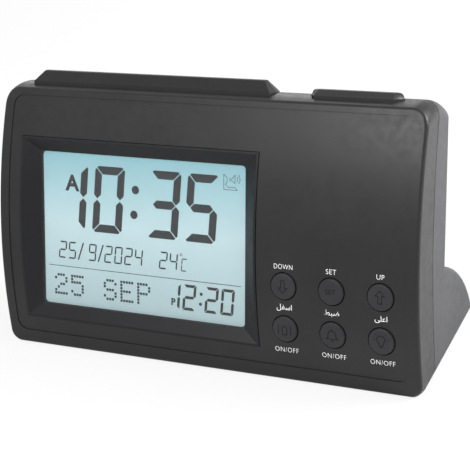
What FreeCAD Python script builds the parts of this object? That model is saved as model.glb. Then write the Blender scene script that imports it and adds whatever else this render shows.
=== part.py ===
"""Desk clock with a leaning body, a bowed front, a display, six keys and two top bars.

Frame: X to the viewer's right, Y away from the viewer, Z up. The origin is on the table, under
the middle of the clock. Most pieces are drawn in the slab's own frame, X right, Y back from the
front plate's chord, Z up along the plate, and are then leaned back by the lean angle.
"""
import FreeCAD, Part
import os
import re
import Sketcher
from FreeCAD import Placement, Rotation, Vector

doc = FreeCAD.newDocument("desk_clock")
sheet = doc.addObject("Spreadsheet::Sheet", "Sizes")

# Driving dimensions, in millimetres and degrees

SIZES = {
    # Whole clock
    "width": 151.5,
    "plate_height": 87.5,
    "bulge": 5.8,
    "lean": 25.0,
    "slab_depth": 17.2,
    "crown_radius": 19.0,
    "crown_rise": 1.7,
    "crown_depth": 8.2,
    "corner_radius": 5.0,
    "bottom_corner_radius": 4.0,
    "rear_edge_radius": 2.0,
    "top_rear_radius": 2.0,
    "front_edge_radius": 1.2,
    "base_edge_radius": 2.0,
    "inner_round": 0.5,
    "wall": 2.0,
    # Round foot, in the upright frame, measured from the plate's lower front edge
    "heel_centre_depth": 16.5,
    "heel_radius": 30.5,
    "heel_inner_depth": 16.0,
    "heel_corner_radius": 2.0,
    # Seam between the two shells
    "seam_top_depth": 7.9,
    "seam_low_depth": 10.3,
    "seam_bow": 3.8,
    "seam_gap": 0.3,
    "lip_length": 1.6,
    "lip_thickness": 0.9,
    "lip_clearance": 0.15,
    # Raised border of the front plate
    "border_side": 4.0,
    "border_top": 2.4,
    "border_bottom": 4.7,
    "border_step": 0.3,
    "border_corner_radius": 3.5,
    # Display
    "bezel_left_margin": 8.5,
    "key_zone_width": 54.1,
    "bezel_low_margin": 10.15,
    "bezel_top_margin": 15.85,
    "bezel_rim": 0.7,
    "bezel_proud": 0.25,
    "bezel_fit": 0.15,
    "bezel_flange": 2.0,
    "bezel_flange_back": 1.0,
    "bevel_side": 5.75,
    "bevel_over": 4.7,
    "window_lip_depth": -1.2,
    "glass_lap_side": 2.05,
    "glass_lap_over": 2.35,
    "glass_fit": 0.2,
    "lens_thickness": 1.0,
    "glass_thickness": 2.2,
    "stack_gap": 0.1,
    "guide_short_side": 1.75,
    "guide_short_over": 3.4,
    "guide_thickness": 3.6,
    "strip_short": 3.75,
    "strip_thickness": 2.2,
    "carrier_lap_side": 1.05,
    "carrier_lap_over": 2.25,
    "board_thickness": 1.6,
    "main_board_depth": 6.2,
    "board_screw_inset": 2.3,
    "board_screw_spread": 40.0,
    "board_screw_length": 9.0,
    "led_width": 1.4,
    "led_length": 3.0,
    "led_pitch": 16.0,
    "led_setback": 1.2,
    "chip_offset": 20.0,
    "chip_width": 12.0,
    "chip_thickness": 1.4,
    "memory_width": 6.0,
    "memory_height": 5.0,
    "crystal_length": 8.0,
    "crystal_width": 3.0,
    "capacitor_radius": 2.5,
    "capacitor_length": 6.0,
    # Keys
    "key_right_margin": 12.15,
    "key_pitch": 16.15,
    "key_upper_height": 31.0,
    "key_lower_height": 17.2,
    "key_radius": 4.2,
    "key_gap": 0.3,
    "key_proud": 0.7,
    "key_rim_radius": 0.6,
    "key_flange": 1.1,
    "key_flange_gap": 0.3,
    "key_flange_back": 0.8,
    "key_stem_radius": 2.0,
    "key_travel": 0.6,
    "key_dome_gap": 0.1,
    "key_board_depth": 4.6,
    "key_board_lap": 7.35,
    "key_board_margin": 2.35,
    "key_mat_thickness": 1.0,
    "key_mat_margin_x": 5.2,
    "key_mat_margin_up": 3.8,
    "dome_radius": 2.8,
    "dome_height": 0.7,
    "key_post_radius": 2.4,
    "key_post_above": 7.8,
    "key_post_below": 6.3,
    # Top bars
    "snooze_offset": 0.7,
    "snooze_length": 88.3,
    "snooze_height": 5.6,
    "snooze_front": 2.6,
    "snooze_back": 9.6,
    "snooze_point": 0.6,
    "snooze_wall_height": 2.0,
    "snooze_end_slope": 3.1,
    "light_right_margin": 25.65,
    "light_length": 26.2,
    "light_point": 2.2,
    "light_height": 3.6,
    "light_wall_height": 1.8,
    "light_front": 2.6,
    "light_back": 9.6,
    "light_end_slope": 0.7,
    "bar_face_slope": 2.4,
    "bar_round": 1.2,
    "bar_gap": 0.3,
    "bar_flange": 1.0,
    "bar_flange_thickness": 1.2,
    "bar_wall": 1.6,
    "bar_travel": 1.2,
    "switch_gap": 0.1,
    "switch_size": 6.0,
    "switch_height": 3.5,
    "plunger_height": 0.8,
    "plunger_radius": 1.7,
    "top_board_front": 3.0,
    "top_board_depth": 9.2,
    "top_board_left_margin": 19.75,
    "top_board_right_margin": 15.75,
    "bracket_height": 2.0,
    "bracket_width": 3.0,
    "bracket_inset": 3.0,
    # Speaker
    "speaker_right_margin": 31.75,
    "speaker_height": 54.0,
    "speaker_radius": 18.0,
    "speaker_flange_thickness": 0.8,
    "speaker_depth": 5.2,
    "speaker_wall": 0.6,
    "magnet_radius": 9.0,
    "magnet_thickness": 3.4,
    "cone_radius": 15.6,
    "cone_thickness": 0.3,
    "cone_rise": 3.0,
    "cone_neck_radius": 5.0,
    "speaker_fit": 0.2,
    "ring_width": 2.2,
    "ring_thickness": 1.4,
    "ring_overlap": 1.0,
    "grille_hole_radius": 1.1,
    "grille_pitch": 4.2,
    # Batteries and their door, in the upright frame
    "cell_radius": 7.2,
    "cell_length": 50.5,
    "cell_depth": 32.0,
    "cell_floor_gap": 0.4,
    "cell_clearance": 0.3,
    "terminal_radius": 2.7,
    "terminal_height": 1.0,
    "spring_length": 6.0,
    "spring_radius": 3.6,
    "spring_wire": 0.4,
    "spring_turns": 4.0,
    "contact_thickness": 0.5,
    "contact_width": 10.0,
    "bay_wall": 1.4,
    "door_front": 25.0,
    "door_thickness": 1.6,
    "door_recess": 0.4,
    "door_gap": 0.25,
    "door_rear_height": 3.6,
    "door_rail": 0.8,
    "door_rail_low": 0.9,
    "door_rail_high": 1.5,
    # Fasteners and pads
    "housing_screw_inset": 8.2,
    "housing_screw_drop": 9.0,
    "housing_screw_lower": 46.0,
    "boss_radius": 3.4,
    "boss_split": 7.5,
    "boss_floor": 1.5,
    "screw_head_radius": 2.3,
    "screw_head_height": 1.5,
    "screw_radius": 1.25,
    "screw_fit": 0.25,
    "thread_fit": 0.05,
    "well_radius": 2.7,
    "well_depth": 6.2,
    "housing_screw_length": 9.0,
    "small_screw_radius": 0.9,
    "small_screw_depth": 3.4,
    "ring_screw_radius": 0.7,
    "ring_head_radius": 1.3,
    "ring_head_height": 0.8,
    "ring_screw_depth": 1.8,
    "small_head_radius": 1.8,
    "small_head_height": 1.1,
    "pad_radius": 4.0,
    "pad_thickness": 1.2,
    "pad_proud": 0.5,
    "pad_bay_gap": 3.45,
    "pad_front_depth": 16.5,
    "pad_rear_depth": 40.5,
}

for row, (alias, value) in enumerate(SIZES.items(), start=1):
    sheet.set(f"A{row}", alias.replace("_", " "))
    sheet.set(f"B{row}", str(value))
    sheet.setAlias(f"B{row}", alias)
doc.recompute()

# Sizes that follow from the driving ones

WORKED_OUT = {
    "crown_axis": "plate_height + crown_rise - crown_radius",
    "bezel_width": "width - bezel_left_margin - key_zone_width",
    "bezel_height": "plate_height - bezel_low_margin - bezel_top_margin",
    "bezel_centre_x": "bezel_left_margin + bezel_width / 2 - width / 2",
    "bezel_centre_height": "bezel_low_margin + bezel_height / 2",
    "window_width": "bezel_width - 2 * bevel_side",
    "window_height": "bezel_height - 2 * bevel_over",
    "glass_width": "window_width + 2 * glass_lap_side",
    "glass_height": "window_height + 2 * glass_lap_over",
    "guide_width": "glass_width - 2 * guide_short_side",
    "guide_height": "glass_height - 2 * guide_short_over",
    "strip_length": "glass_width - 2 * strip_short",
    "carrier_width": "bezel_width + 2 * carrier_lap_side",
    "carrier_height": "bezel_height + 2 * carrier_lap_over",
    "key_first_x": "width / 2 - key_right_margin - 2 * key_pitch",
    "key_post_upper": "key_upper_height + key_post_above",
    "key_post_lower": "key_lower_height - key_post_below",
    "snooze_centre_x": "bezel_centre_x + snooze_offset",
    "snooze_mid_depth": "(snooze_front + snooze_back) / 2",
    "light_centre_x": "width / 2 - light_right_margin",
    "light_mid_depth": "(light_front + light_back) / 2",
    "top_board_left": "top_board_left_margin - width / 2",
    "top_board_right": "width / 2 - top_board_right_margin",
    "speaker_x": "width / 2 - speaker_right_margin",
    "housing_screw_upper": "plate_height - housing_screw_drop",
    "bay_half": "(2 * cell_length + spring_length + 2 * contact_thickness + cell_clearance) / 2",
    "cell_room": "cell_radius + cell_clearance",
    "pad_x": "bay_half + bay_wall + pad_bay_gap + pad_radius",
    "heel_back": "heel_centre_depth + heel_radius",
}

WORD = re.compile(r"[a-z][a-z_]*")
SAME = 1e-3
TAN = "tan(lean * 1 deg)"
FAR = "(2 * width)"
X_AXIS, Y_AXIS, Z_AXIS = Vector(1, 0, 0), Vector(0, 1, 0), Vector(0, 0, 1)
ALONG = {
    "x": Rotation(Y_AXIS, 90),
    "y": Rotation(X_AXIS, -90),
    "z": Rotation(),
}


def spelled_out(found):
    word = found.group()
    if word in WORKED_OUT:
        return "(" + named(WORKED_OUT[word]) + ")"
    return "Sizes." + word if word in SIZES else word


def named(text):
    """Put the sheet's name before each of its aliases in an expression, and spell out the rest."""
    return WORD.sub(spelled_out, text)


def number(text):
    return float(sheet.evalExpression(named(text)))


def bind(thing, slot, text):
    thing.setExpression(slot, named(text))


def box(name, low, high):
    """A block between two corners, each given as three expressions."""
    block = doc.addObject("Part::Box", name)
    for side, letter, start, end in zip(("Length", "Width", "Height"), "xyz", low, high):
        bind(block, side, f"({end}) - ({start})")
        bind(block, f"Placement.Base.{letter}", start)
    return block


def rod(name, axis, radius, start, length):
    """A cylinder from its start point along one axis."""
    cylinder = doc.addObject("Part::Cylinder", name)
    cylinder.Placement = Placement(Vector(), ALONG[axis])
    bind(cylinder, "Radius", radius)
    bind(cylinder, "Height", length)
    for letter, text in zip("xyz", start):
        bind(cylinder, f"Placement.Base.{letter}", text)
    return cylinder


def cone(name, axis, start_radius, end_radius, start, length):
    frustum = doc.addObject("Part::Cone", name)
    frustum.Placement = Placement(Vector(), ALONG[axis])
    bind(frustum, "Radius1", start_radius)
    bind(frustum, "Radius2", end_radius)
    bind(frustum, "Height", length)
    for letter, text in zip("xyz", start):
        bind(frustum, f"Placement.Base.{letter}", text)
    return frustum


def fuse(name, *pieces):
    union = doc.addObject("Part::MultiFuse", name)
    union.Shapes = list(pieces)
    union.Refine = True
    return union


def common(name, *pieces):
    shared = doc.addObject("Part::MultiCommon", name)
    shared.Shapes = list(pieces)
    shared.Refine = True
    return shared


def cut(name, base, *tools):
    rest = doc.addObject("Part::Cut", name)
    rest.Base = base
    rest.Tool = tools[0] if len(tools) == 1 else fuse(name + "_tools", *tools)
    rest.Refine = True
    return rest


def group(name, pieces):
    """Separate solids of one kind, kept in one node."""
    compound = doc.addObject("Part::Compound", name)
    compound.Links = list(pieces)
    return compound


def fillet(name, base, radius, chosen):
    """Round the edges that the test picks."""
    doc.recompute()
    rounded = doc.addObject("Part::Fillet", name)
    rounded.Base = base
    size = number(radius)
    picked = [place for place, edge in enumerate(base.Shape.Edges, start=1) if chosen(edge)]
    rounded.Edges = [(place, size, size) for place in picked]
    return rounded


def runs_along(edge, axis):
    """Whether an edge is straight and parallel to an axis."""
    if edge.Curve.TypeId != "Part::GeomLine":
        return False
    return abs(abs(edge.Curve.Direction.dot(axis)) - 1) < SAME


def middle(edge):
    return edge.valueAt((edge.FirstParameter + edge.LastParameter) / 2)


def is_near(value, text):
    return abs(value - number(text)) < SAME


def sketch(body, name, role, corners, height="0"):
    """A closed outline on one of the body's own planes.

    A corner is (across, up) or (across, up, bow): bow is how far the arc to the next corner
    stands out to the right of the way round.
    """
    outline = body.newObject("Sketcher::SketchObject", name)
    plane = next(feature for feature in body.Origin.OriginFeatures if feature.Role == role)
    outline.AttachmentSupport = [(plane, "")]
    outline.MapMode = "FlatFace"
    bind(outline, "AttachmentOffset.Base.z", height)
    points = [Vector(number(corner[0]), number(corner[1]), 0) for corner in corners]
    ends = []
    for index, corner in enumerate(corners):
        start = points[index]
        end = points[(index + 1) % len(points)]
        if len(corner) == 2:
            ends.append((outline.addGeometry(Part.LineSegment(start, end)), 1, 2))
            continue
        way = (end - start).normalize()
        bow = number(corner[2])
        top = (start + end) / 2 + Vector(way.y, -way.x, 0) * bow
        if bow > 0:
            ends.append((outline.addGeometry(Part.Arc(start, top, end)), 1, 2))
        else:
            ends.append((outline.addGeometry(Part.Arc(end, top, start)), 2, 1))
    for index, corner in enumerate(corners):
        edge, first, last = ends[index]
        before, _, before_last = ends[index - 1]
        outline.addConstraint(Sketcher.Constraint("Coincident", before, before_last, edge, first))
        for kind, text, place in (
            ("DistanceX", corner[0], points[index].x),
            ("DistanceY", corner[1], points[index].y),
        ):
            slot = outline.addConstraint(Sketcher.Constraint(kind, -1, 1, edge, first, place))
            bind(outline, f"Constraints[{slot}]", text)
        if len(corner) == 3:
            after = corners[(index + 1) % len(corners)]
            chord = f"((({after[0]}) - ({corner[0]}))^2 + (({after[1]}) - ({corner[1]}))^2)"
            radius = f"({chord} / 4 + ({corner[2]})^2) / (2 * abs({corner[2]}))"
            slot = outline.addConstraint(Sketcher.Constraint("Radius", edge, number(radius)))
            bind(outline, f"Constraints[{slot}]", radius)
    return outline


def side_section(name, corners, half_width):
    """A prism with its section in the side view, as wide as the clock's middle needs."""
    body = doc.addObject("PartDesign::Body", name)
    outline = sketch(body, name + "_outline", "YZ_Plane", corners)
    pad = body.newObject("PartDesign::Pad", name + "_pad")
    pad.Profile = outline
    pad.SideType = "Symmetric"
    bind(pad, "Length", f"2 * ({half_width})")
    return body


def rounded_prism(name, low, high, axis, radius, chosen):
    """A block with its edges along one axis rounded where the test says."""
    block = box(name + "_block", low, high)
    return fillet(name, block, radius, lambda edge: runs_along(edge, axis) and chosen(middle(edge)))


def behind_front(name, shift):
    """Everything behind the bowed front surface, moved back by a shift."""
    return side_section(
        name,
        [
            (shift, "plate_height", "bulge"),
            (shift, "0"),
            (shift, f"-{FAR}"),
            (FAR, f"-{FAR}"),
            (FAR, FAR),
            (shift, FAR),
        ],
        "width",
    )


def before_seam(name, shift):
    """Everything in front of the seam between the shells, moved back by a shift."""
    low = f"seam_low_depth + {shift}"
    top = f"seam_top_depth + {shift}"
    return side_section(
        name,
        [
            (top, "plate_height"),
            (top, FAR),
            (f"-{FAR}", FAR),
            (f"-{FAR}", f"-{FAR}"),
            (low, f"-{FAR}"),
            (low, f"seam_low_depth * {TAN}", "-seam_bow"),
        ],
        "width",
    )


# Shells

def rounding(radius, inset):
    """The outer radius carried in to a form that is smaller all round."""
    return f"max({radius} - ({inset}); inner_round)"


def heel_side(name, inset, half_width):
    """The full-width round foot with its lower rear edge rounded, upright."""
    radius = f"(heel_radius - ({inset}))"
    back = f"heel_centre_depth + sqrt({radius}^2 - ({inset})^2)"
    bow = f"{radius} * (1 - cos(45 deg - asin(({inset}) / {radius}) / 2))"
    corners = [
        ("heel_inner_depth", inset),
        (back, inset, bow),
        ("heel_centre_depth", radius),
        ("heel_inner_depth", radius),
    ]
    return fillet(
        name, side_section(name + "_sharp", corners, half_width), rounding("heel_corner_radius", inset),
        lambda edge: (
            runs_along(edge, X_AXIS) and is_near(middle(edge).z, inset) and is_near(middle(edge).y, back)
        ),
    )


def upright(shape):
    """Turn a shape that was drawn upright into the slab's leaning frame."""
    shape.Placement = Placement(Vector(), Rotation(X_AXIS, number("lean")))
    return shape


def crowned_side(name, inset):
    """Side view of the slab: flat back, top edge crowned over a long cylinder."""
    back = f"(slab_depth - ({inset}))"
    radius = f"(crown_radius - ({inset}))"
    rise = f"sqrt({radius}^2 - ({back} - crown_depth)^2)"
    shoulder = f"crown_axis + {rise}"
    section = side_section(
        name + "_section",
        [
            ("-2 * bulge", inset),
            (back, inset),
            (back, shoulder, f"{radius} - {rise}"),
            (f"2 * crown_depth - {back}", shoulder),
            ("-2 * bulge", shoulder),
        ],
        "width",
    )
    return fillet(
        name, section, rounding("top_rear_radius", inset),
        lambda edge: (
            runs_along(edge, X_AXIS) and is_near(middle(edge).y, back)
            and middle(edge).z > number("crown_axis")
        ),
    )


def crowned_front(name, inset):
    """Front view of the slab: a block with rounded lower corners under a barrel with rounded ends."""
    half = f"width / 2 - ({inset})"
    block = rounded_prism(
        name + "_block",
        (f"-({half})", "-2 * bulge", inset),
        (half, "slab_depth", "crown_axis"),
        Y_AXIS,
        rounding("bottom_corner_radius", inset),
        lambda place: is_near(place.z, inset),
    )
    start = (f"-({half})", "crown_depth", "crown_axis")
    barrel = fillet(
        name + "_barrel",
        rod(name + "_rod", "x", f"crown_radius - ({inset})", start, f"2 * ({half})"),
        rounding("corner_radius", inset),
        lambda edge: edge.BoundBox.XLength < number("inner_round"),
    )
    return fuse(name, block, barrel)


def slab_form(name, inset):
    """The leaning slab, closed, smaller all round by the inset."""
    half = f"width / 2 - ({inset})"
    return common(
        name,
        behind_front(name + "_bow", inset),
        crowned_side(name + "_side_view", inset),
        crowned_front(name + "_front_view", inset),
        rounded_prism(
            name + "_plan",
            (f"-({half})", "-2 * bulge", inset),
            (half, f"slab_depth - ({inset})", "plate_height + crown_rise"),
            Z_AXIS,
            rounding("rear_edge_radius", inset),
            lambda place: place.y > 0,
        ),
    )


def heel_form(name, inset):
    """The round foot with its curved side edges rounded too, upright."""
    return fillet(
        name, heel_side(name + "_side", inset, f"width / 2 - ({inset})"), rounding("rear_edge_radius", inset),
        lambda edge: (
            edge.BoundBox.XLength < number("inner_round")
            and edge.BoundBox.ZLength > number("heel_centre_depth")
        ),
    )


def on_the_table(name, inset):
    """Everything above the table, with the long lower edges at the sides rounded; upright."""
    half = f"width / 2 - ({inset})"
    return rounded_prism(
        name,
        (f"-({half})", f"-{FAR}", inset),
        (half, FAR, FAR),
        Y_AXIS,
        rounding("base_edge_radius", inset),
        lambda place: is_near(place.z, inset),
    )


def closed_form(name, inset, slab=None):
    """Slab and foot as one closed body standing on the table, in the slab's frame."""
    slab = slab or slab_form(name + "_slab", inset)
    heel = upright(heel_form(name + "_heel", inset))
    return common(name, fuse(name + "_both", slab, heel), upright(on_the_table(name + "_base", inset)))


def on_front_surface(edge):
    """Whether an edge lies on the bowed front surface."""
    bulge = number("bulge")
    half = number("plate_height") / 2
    radius = (half ** 2 + bulge ** 2) / (2 * bulge)
    for part_way in (0.1, 0.5, 0.9):
        place = edge.valueAt(edge.FirstParameter + part_way * (edge.LastParameter - edge.FirstParameter))
        reach = ((place.y - (radius - bulge)) ** 2 + (place.z - half) ** 2) ** 0.5
        if abs(reach - radius) > SAME or place.y > number("wall") / 2:
            return False
    return True


sharp_slab = slab_form("sharp_slab", "0")
outer_slab = fillet("outer_slab", sharp_slab, "front_edge_radius", on_front_surface)
plain_outside = closed_form("plain_outside", "0", outer_slab)
panel_outline = rounded_prism(
    "panel_outline",
    ("-(width / 2 - border_side)", "-2 * bulge", "border_bottom"),
    ("width / 2 - border_side", "slab_depth / 2", "plate_height - border_top"),
    Y_AXIS,
    "border_corner_radius",
    lambda place: True,
)
panel_hollow = cut("panel_hollow", panel_outline, behind_front("panel_surface", "border_step"))
outside = cut("outside", plain_outside, panel_hollow)
inside = closed_form("inside", "wall")
case_shell = cut("case_shell", outside, inside)

PARTS = {}


def keep(node, shape, lean="-lean"):
    """Name a finished piece and lean it back from the slab's own frame."""
    if shape.isDerivedFrom("Part::Primitive"):
        shape = group(node + "_piece", [shape])
    PARTS[node] = shape
    shape.Label = node
    shape.Placement = Placement(Vector(), Rotation(X_AXIS, number(lean)))


def keep_upright(node, shape):
    """Name a finished piece of the upright foot."""
    keep(node, shape, "0")


# Holes and seats that both shells share

KEY_COLUMNS = [f"key_first_x + {column} * key_pitch" for column in range(3)]
KEY_ROWS = ("key_upper_height", "key_lower_height")
KEY_NODES = (("down_key", "set_key", "up_key"), ("azan_key", "alarm_key", "lamp_key"))
KEY_POSTS = [
    (f"key_first_x + {between} * key_pitch", height)
    for between in (0.5, 1.5)
    for height in ("key_post_upper", "key_post_lower")
]
HOUSING_SCREWS = [
    ("-(width / 2 - housing_screw_inset)", "housing_screw_upper"),
    ("width / 2 - housing_screw_inset", "housing_screw_upper"),
    ("width / 2 - housing_screw_inset", "housing_screw_lower"),
]
BAR_TOP = "(plate_height - wall - bar_gap)"
BAR_UNDERSIDE = f"({BAR_TOP} - bar_flange_thickness)"
PLUNGER_TOP = f"({BAR_UNDERSIDE} - bar_travel - switch_gap)"
SWITCH_TOP = f"({PLUNGER_TOP} - plunger_height)"
TOP_BOARD_FACE = f"({SWITCH_TOP} - switch_height)"


def bar_outline(centre, length, point, front, back, grow="0"):
    """Plan of a top bar: a long block with shallow pointed ends."""
    half = f"({length} / 2 + {grow})"
    middle_depth = f"({front} + {back}) / 2"
    return [
        (f"{centre} - {half}", f"{front} - {grow}"),
        (f"{centre} + {half}", f"{front} - {grow}"),
        (f"{centre} + {half} + {point}", middle_depth),
        (f"{centre} + {half}", f"{back} + {grow}"),
        (f"{centre} - {half}", f"{back} + {grow}"),
        (f"{centre} - {half} - {point}", middle_depth),
    ]


def bar_plate(name, corners, low, high):
    """A flat slice of a top bar between two heights."""
    body = doc.addObject("PartDesign::Body", name)
    outline = sketch(body, name + "_outline", "XY_Plane", corners, low)
    pad = body.newObject("PartDesign::Pad", name + "_pad")
    pad.Profile = outline
    bind(pad, "Length", f"({high}) - ({low})")
    return body


SNOOZE = ("snooze_centre_x", "snooze_length", "snooze_point", "snooze_front", "snooze_back")
LIGHT = ("light_centre_x", "light_length", "light_point", "light_front", "light_back")


def bar_opening(name, plan):
    top = "plate_height + crown_rise + wall"
    return bar_plate(name, bar_outline(*plan, "bar_gap"), "plate_height - 2 * wall", top)


openings = [bar_opening("snooze_opening", SNOOZE), bar_opening("light_opening", LIGHT)]

# Front housing


def display_block(name, grow, back, face):
    """A block round the display from the front face back to a depth, larger than the bezel."""
    across = f"(bezel_width / 2 + {grow})"
    up = f"(bezel_height / 2 + {grow})"
    block = box(
        name + "_block",
        (f"bezel_centre_x - {across}", "-2 * bulge", f"bezel_centre_height - {up}"),
        (f"bezel_centre_x + {across}", back, f"bezel_centre_height + {up}"),
    )
    return common(name, block, behind_front(name + "_face", face)) if face else block


bezel_hole = display_block("bezel_hole", "bezel_fit", "wall + bulge", None)
key_holes = [
    rod(f"key_hole_{line}_{column}", "y", "key_radius + key_gap", (x, "-2 * bulge", height), "3 * bulge")
    for line, height in enumerate(KEY_ROWS)
    for column, x in enumerate(KEY_COLUMNS)
]
inner_front = behind_front("inner_front", "wall / 2")


def front_post(name, x, height, radius, back):
    """A post moulded on the inside of the front wall, ending flat at a depth."""
    whole = rod(name + "_rod", "y", radius, (x, "-2 * bulge", height), f"2 * bulge + {back}")
    return common(name, whole, inner_front)


front_posts = [
    front_post(f"key_post_{place}", x, height, "key_post_radius", "key_board_depth")
    for place, (x, height) in enumerate(KEY_POSTS)
]
front_posts += [
    front_post(f"front_boss_{place}", x, height, "boss_radius", "boss_split")
    for place, (x, height) in enumerate(HOUSING_SCREWS)
]
key_post_holes = [
    rod(
        f"key_post_hole_{place}", "y", "small_screw_radius + thread_fit",
        (x, "key_board_depth - small_screw_depth - thread_fit", height), "small_screw_depth + wall",
    )
    for place, (x, height) in enumerate(KEY_POSTS)
]
boss_holes = [
    rod(
        f"boss_hole_{place}", "y", "screw_radius + thread_fit",
        (x, "boss_floor", height), "boss_split - boss_floor + wall",
    )
    for place, (x, height) in enumerate(HOUSING_SCREWS)
]
lip_room = cut(
    "lip_room",
    closed_form("lip_room_form", "wall - lip_clearance"),
    before_seam("lip_room_front", "-(lip_length + lip_clearance)"),
)
front_shell = common("front_shell", case_shell, before_seam("front_of_seam", "0"))
front_housing = cut(
    "front_housing_solid",
    fuse("front_with_posts", cut("front_rebated", front_shell, lip_room), *front_posts),
    bezel_hole,
    *key_holes,
    *key_post_holes,
    *boss_holes,
    *openings,
)
keep("front_housing", front_housing)

# Rear housing

rear_shell = cut("rear_shell", case_shell, before_seam("behind_seam", "seam_gap"))
lip_ring = cut("lip_ring", inside, closed_form("lip_bore", "wall + lip_thickness"))
lip_band = cut(
    "lip_band",
    common("lip_back", lip_ring, before_seam("lip_root", "seam_gap + lip_length")),
    before_seam("lip_tip", "-lip_length"),
)
rear_bosses = [
    rod(
        f"rear_boss_{place}", "y", "boss_radius",
        (x, "boss_split + stack_gap", height), "slab_depth - wall / 2 - boss_split - stack_gap",
    )
    for place, (x, height) in enumerate(HOUSING_SCREWS)
]
screw_wells = [
    rod(f"screw_well_{place}", "y", "well_radius", (x, "slab_depth - well_depth", height), "well_depth + wall")
    for place, (x, height) in enumerate(HOUSING_SCREWS)
]
screw_ways = [
    rod(f"screw_way_{place}", "y", "screw_radius + screw_fit", (x, "boss_split - wall", height), "slab_depth")
    for place, (x, height) in enumerate(HOUSING_SCREWS)
]
BRACKETS = (
    "top_board_left + bracket_inset",
    "(top_board_left + top_board_right) / 2",
    "top_board_right - bracket_inset",
)
brackets = [
    box(
        f"bracket_{place}",
        (f"{x} - bracket_width / 2", "top_board_front", f"{TOP_BOARD_FACE} - board_thickness - bracket_height"),
        (f"{x} + bracket_width / 2", "slab_depth - wall / 2", f"{TOP_BOARD_FACE} - board_thickness"),
    )
    for place, x in enumerate(BRACKETS)
]
INNER_BACK = "(slab_depth - wall)"
SPEAKER_FACE = f"({INNER_BACK} - speaker_flange_thickness)"


def speaker_rod(name, radius, depth, length):
    return rod(name, "y", radius, ("speaker_x", depth, "speaker_height"), length)


speaker_seat = cut(
    "speaker_seat",
    speaker_rod(
        "seat_outer", "speaker_radius + ring_width", SPEAKER_FACE, "speaker_flange_thickness + wall / 2"
    ),
    speaker_rod(
        "seat_inner", "speaker_radius + speaker_fit",
        f"{SPEAKER_FACE} - wall", "wall + speaker_flange_thickness",
    ),
)
GRILLE = [(0, 0)] + [(ring, turn * 60 / ring) for ring in (1, 2, 3) for turn in range(6 * ring)]
grille_holes = [
    rod(
        f"grille_hole_{place}", "y", "grille_hole_radius",
        (
            f"speaker_x + {ring} * grille_pitch * cos({turn} deg)",
            f"{INNER_BACK} - wall",
            f"speaker_height + {ring} * grille_pitch * sin({turn} deg)",
        ),
        "3 * wall",
    )
    for place, (ring, turn) in enumerate(GRILLE)
]
RING_SCREWS = [
    (
        f"speaker_x + (speaker_radius + ring_width / 2) * cos({turn} deg)",
        f"speaker_height + (speaker_radius + ring_width / 2) * sin({turn} deg)",
    )
    for turn in (90, 210, 330)
]
ring_screw_holes = [
    rod(
        f"ring_screw_hole_{place}", "y", "ring_screw_radius + thread_fit",
        (x, f"{SPEAKER_FACE} - wall", height), "wall + ring_screw_depth",
    )
    for place, (x, height) in enumerate(RING_SCREWS)
]

# Battery bay and door opening, in the upright frame

CELL_HEIGHT = "(wall + cell_floor_gap + cell_radius)"
BAY_TOP = f"({CELL_HEIGHT} + cell_room)"
DOOR_TOP = "(door_recess + door_thickness)"

bay_block = cut(
    "bay_block",
    box(
        "bay_outer",
        ("-(bay_half + bay_wall)", "cell_depth - cell_room - bay_wall", "wall / 2"),
        ("bay_half + bay_wall", "cell_depth + cell_room + bay_wall", f"{BAY_TOP} + bay_wall"),
    ),
    box(
        "bay_inner",
        ("-bay_half", "cell_depth - cell_room", "-wall"),
        ("bay_half", "cell_depth + cell_room", BAY_TOP),
    ),
)
bay_walls = common("bay_walls", bay_block, heel_side("bay_limit", "wall / 2", "width / 2"))
door_opening = fuse(
    "door_opening",
    box(
        "door_opening_plate",
        ("-bay_half", "door_front", "-wall"),
        ("bay_half", "heel_back + wall", f"{DOOR_TOP} + door_gap"),
    ),
    box(
        "door_opening_back",
        ("-bay_half", "heel_back - wall - door_gap", "-wall"),
        ("bay_half", "heel_back + wall", "door_rear_height + door_gap"),
    ),
    box(
        "door_grooves",
        ("-(bay_half + door_rail + door_gap)", "door_front", "door_rail_low - door_gap"),
        ("bay_half + door_rail + door_gap", "heel_back + wall", "door_rail_high + door_gap"),
    ),
)
PADS = [
    (f"{side} * pad_x", depth)
    for side in (-1, 1)
    for depth in ("pad_front_depth", "pad_rear_depth")
]
pad_seats = [
    rod(
        f"pad_seat_{place}", "z", "pad_radius + stack_gap",
        (x, depth, "-wall"), "wall + pad_thickness - pad_proud",
    )
    for place, (x, depth) in enumerate(PADS)
]

rear_housing = cut(
    "rear_housing_solid",
    fuse("rear_with_ribs", rear_shell, lip_band, *rear_bosses, *brackets, speaker_seat, upright(bay_walls)),
    *screw_wells,
    *screw_ways,
    *grille_holes,
    *ring_screw_holes,
    *openings,
    upright(door_opening),
    upright(group("pad_seats", pad_seats)),
)
keep("rear_housing", rear_housing)

# Display, from the front backwards


def display_plate(name, width, height, front, back):
    """A flat plate centred on the display."""
    return box(
        name,
        (f"bezel_centre_x - ({width}) / 2", front, f"bezel_centre_height - ({height}) / 2"),
        (f"bezel_centre_x + ({width}) / 2", back, f"bezel_centre_height + ({height}) / 2"),
    )


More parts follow.
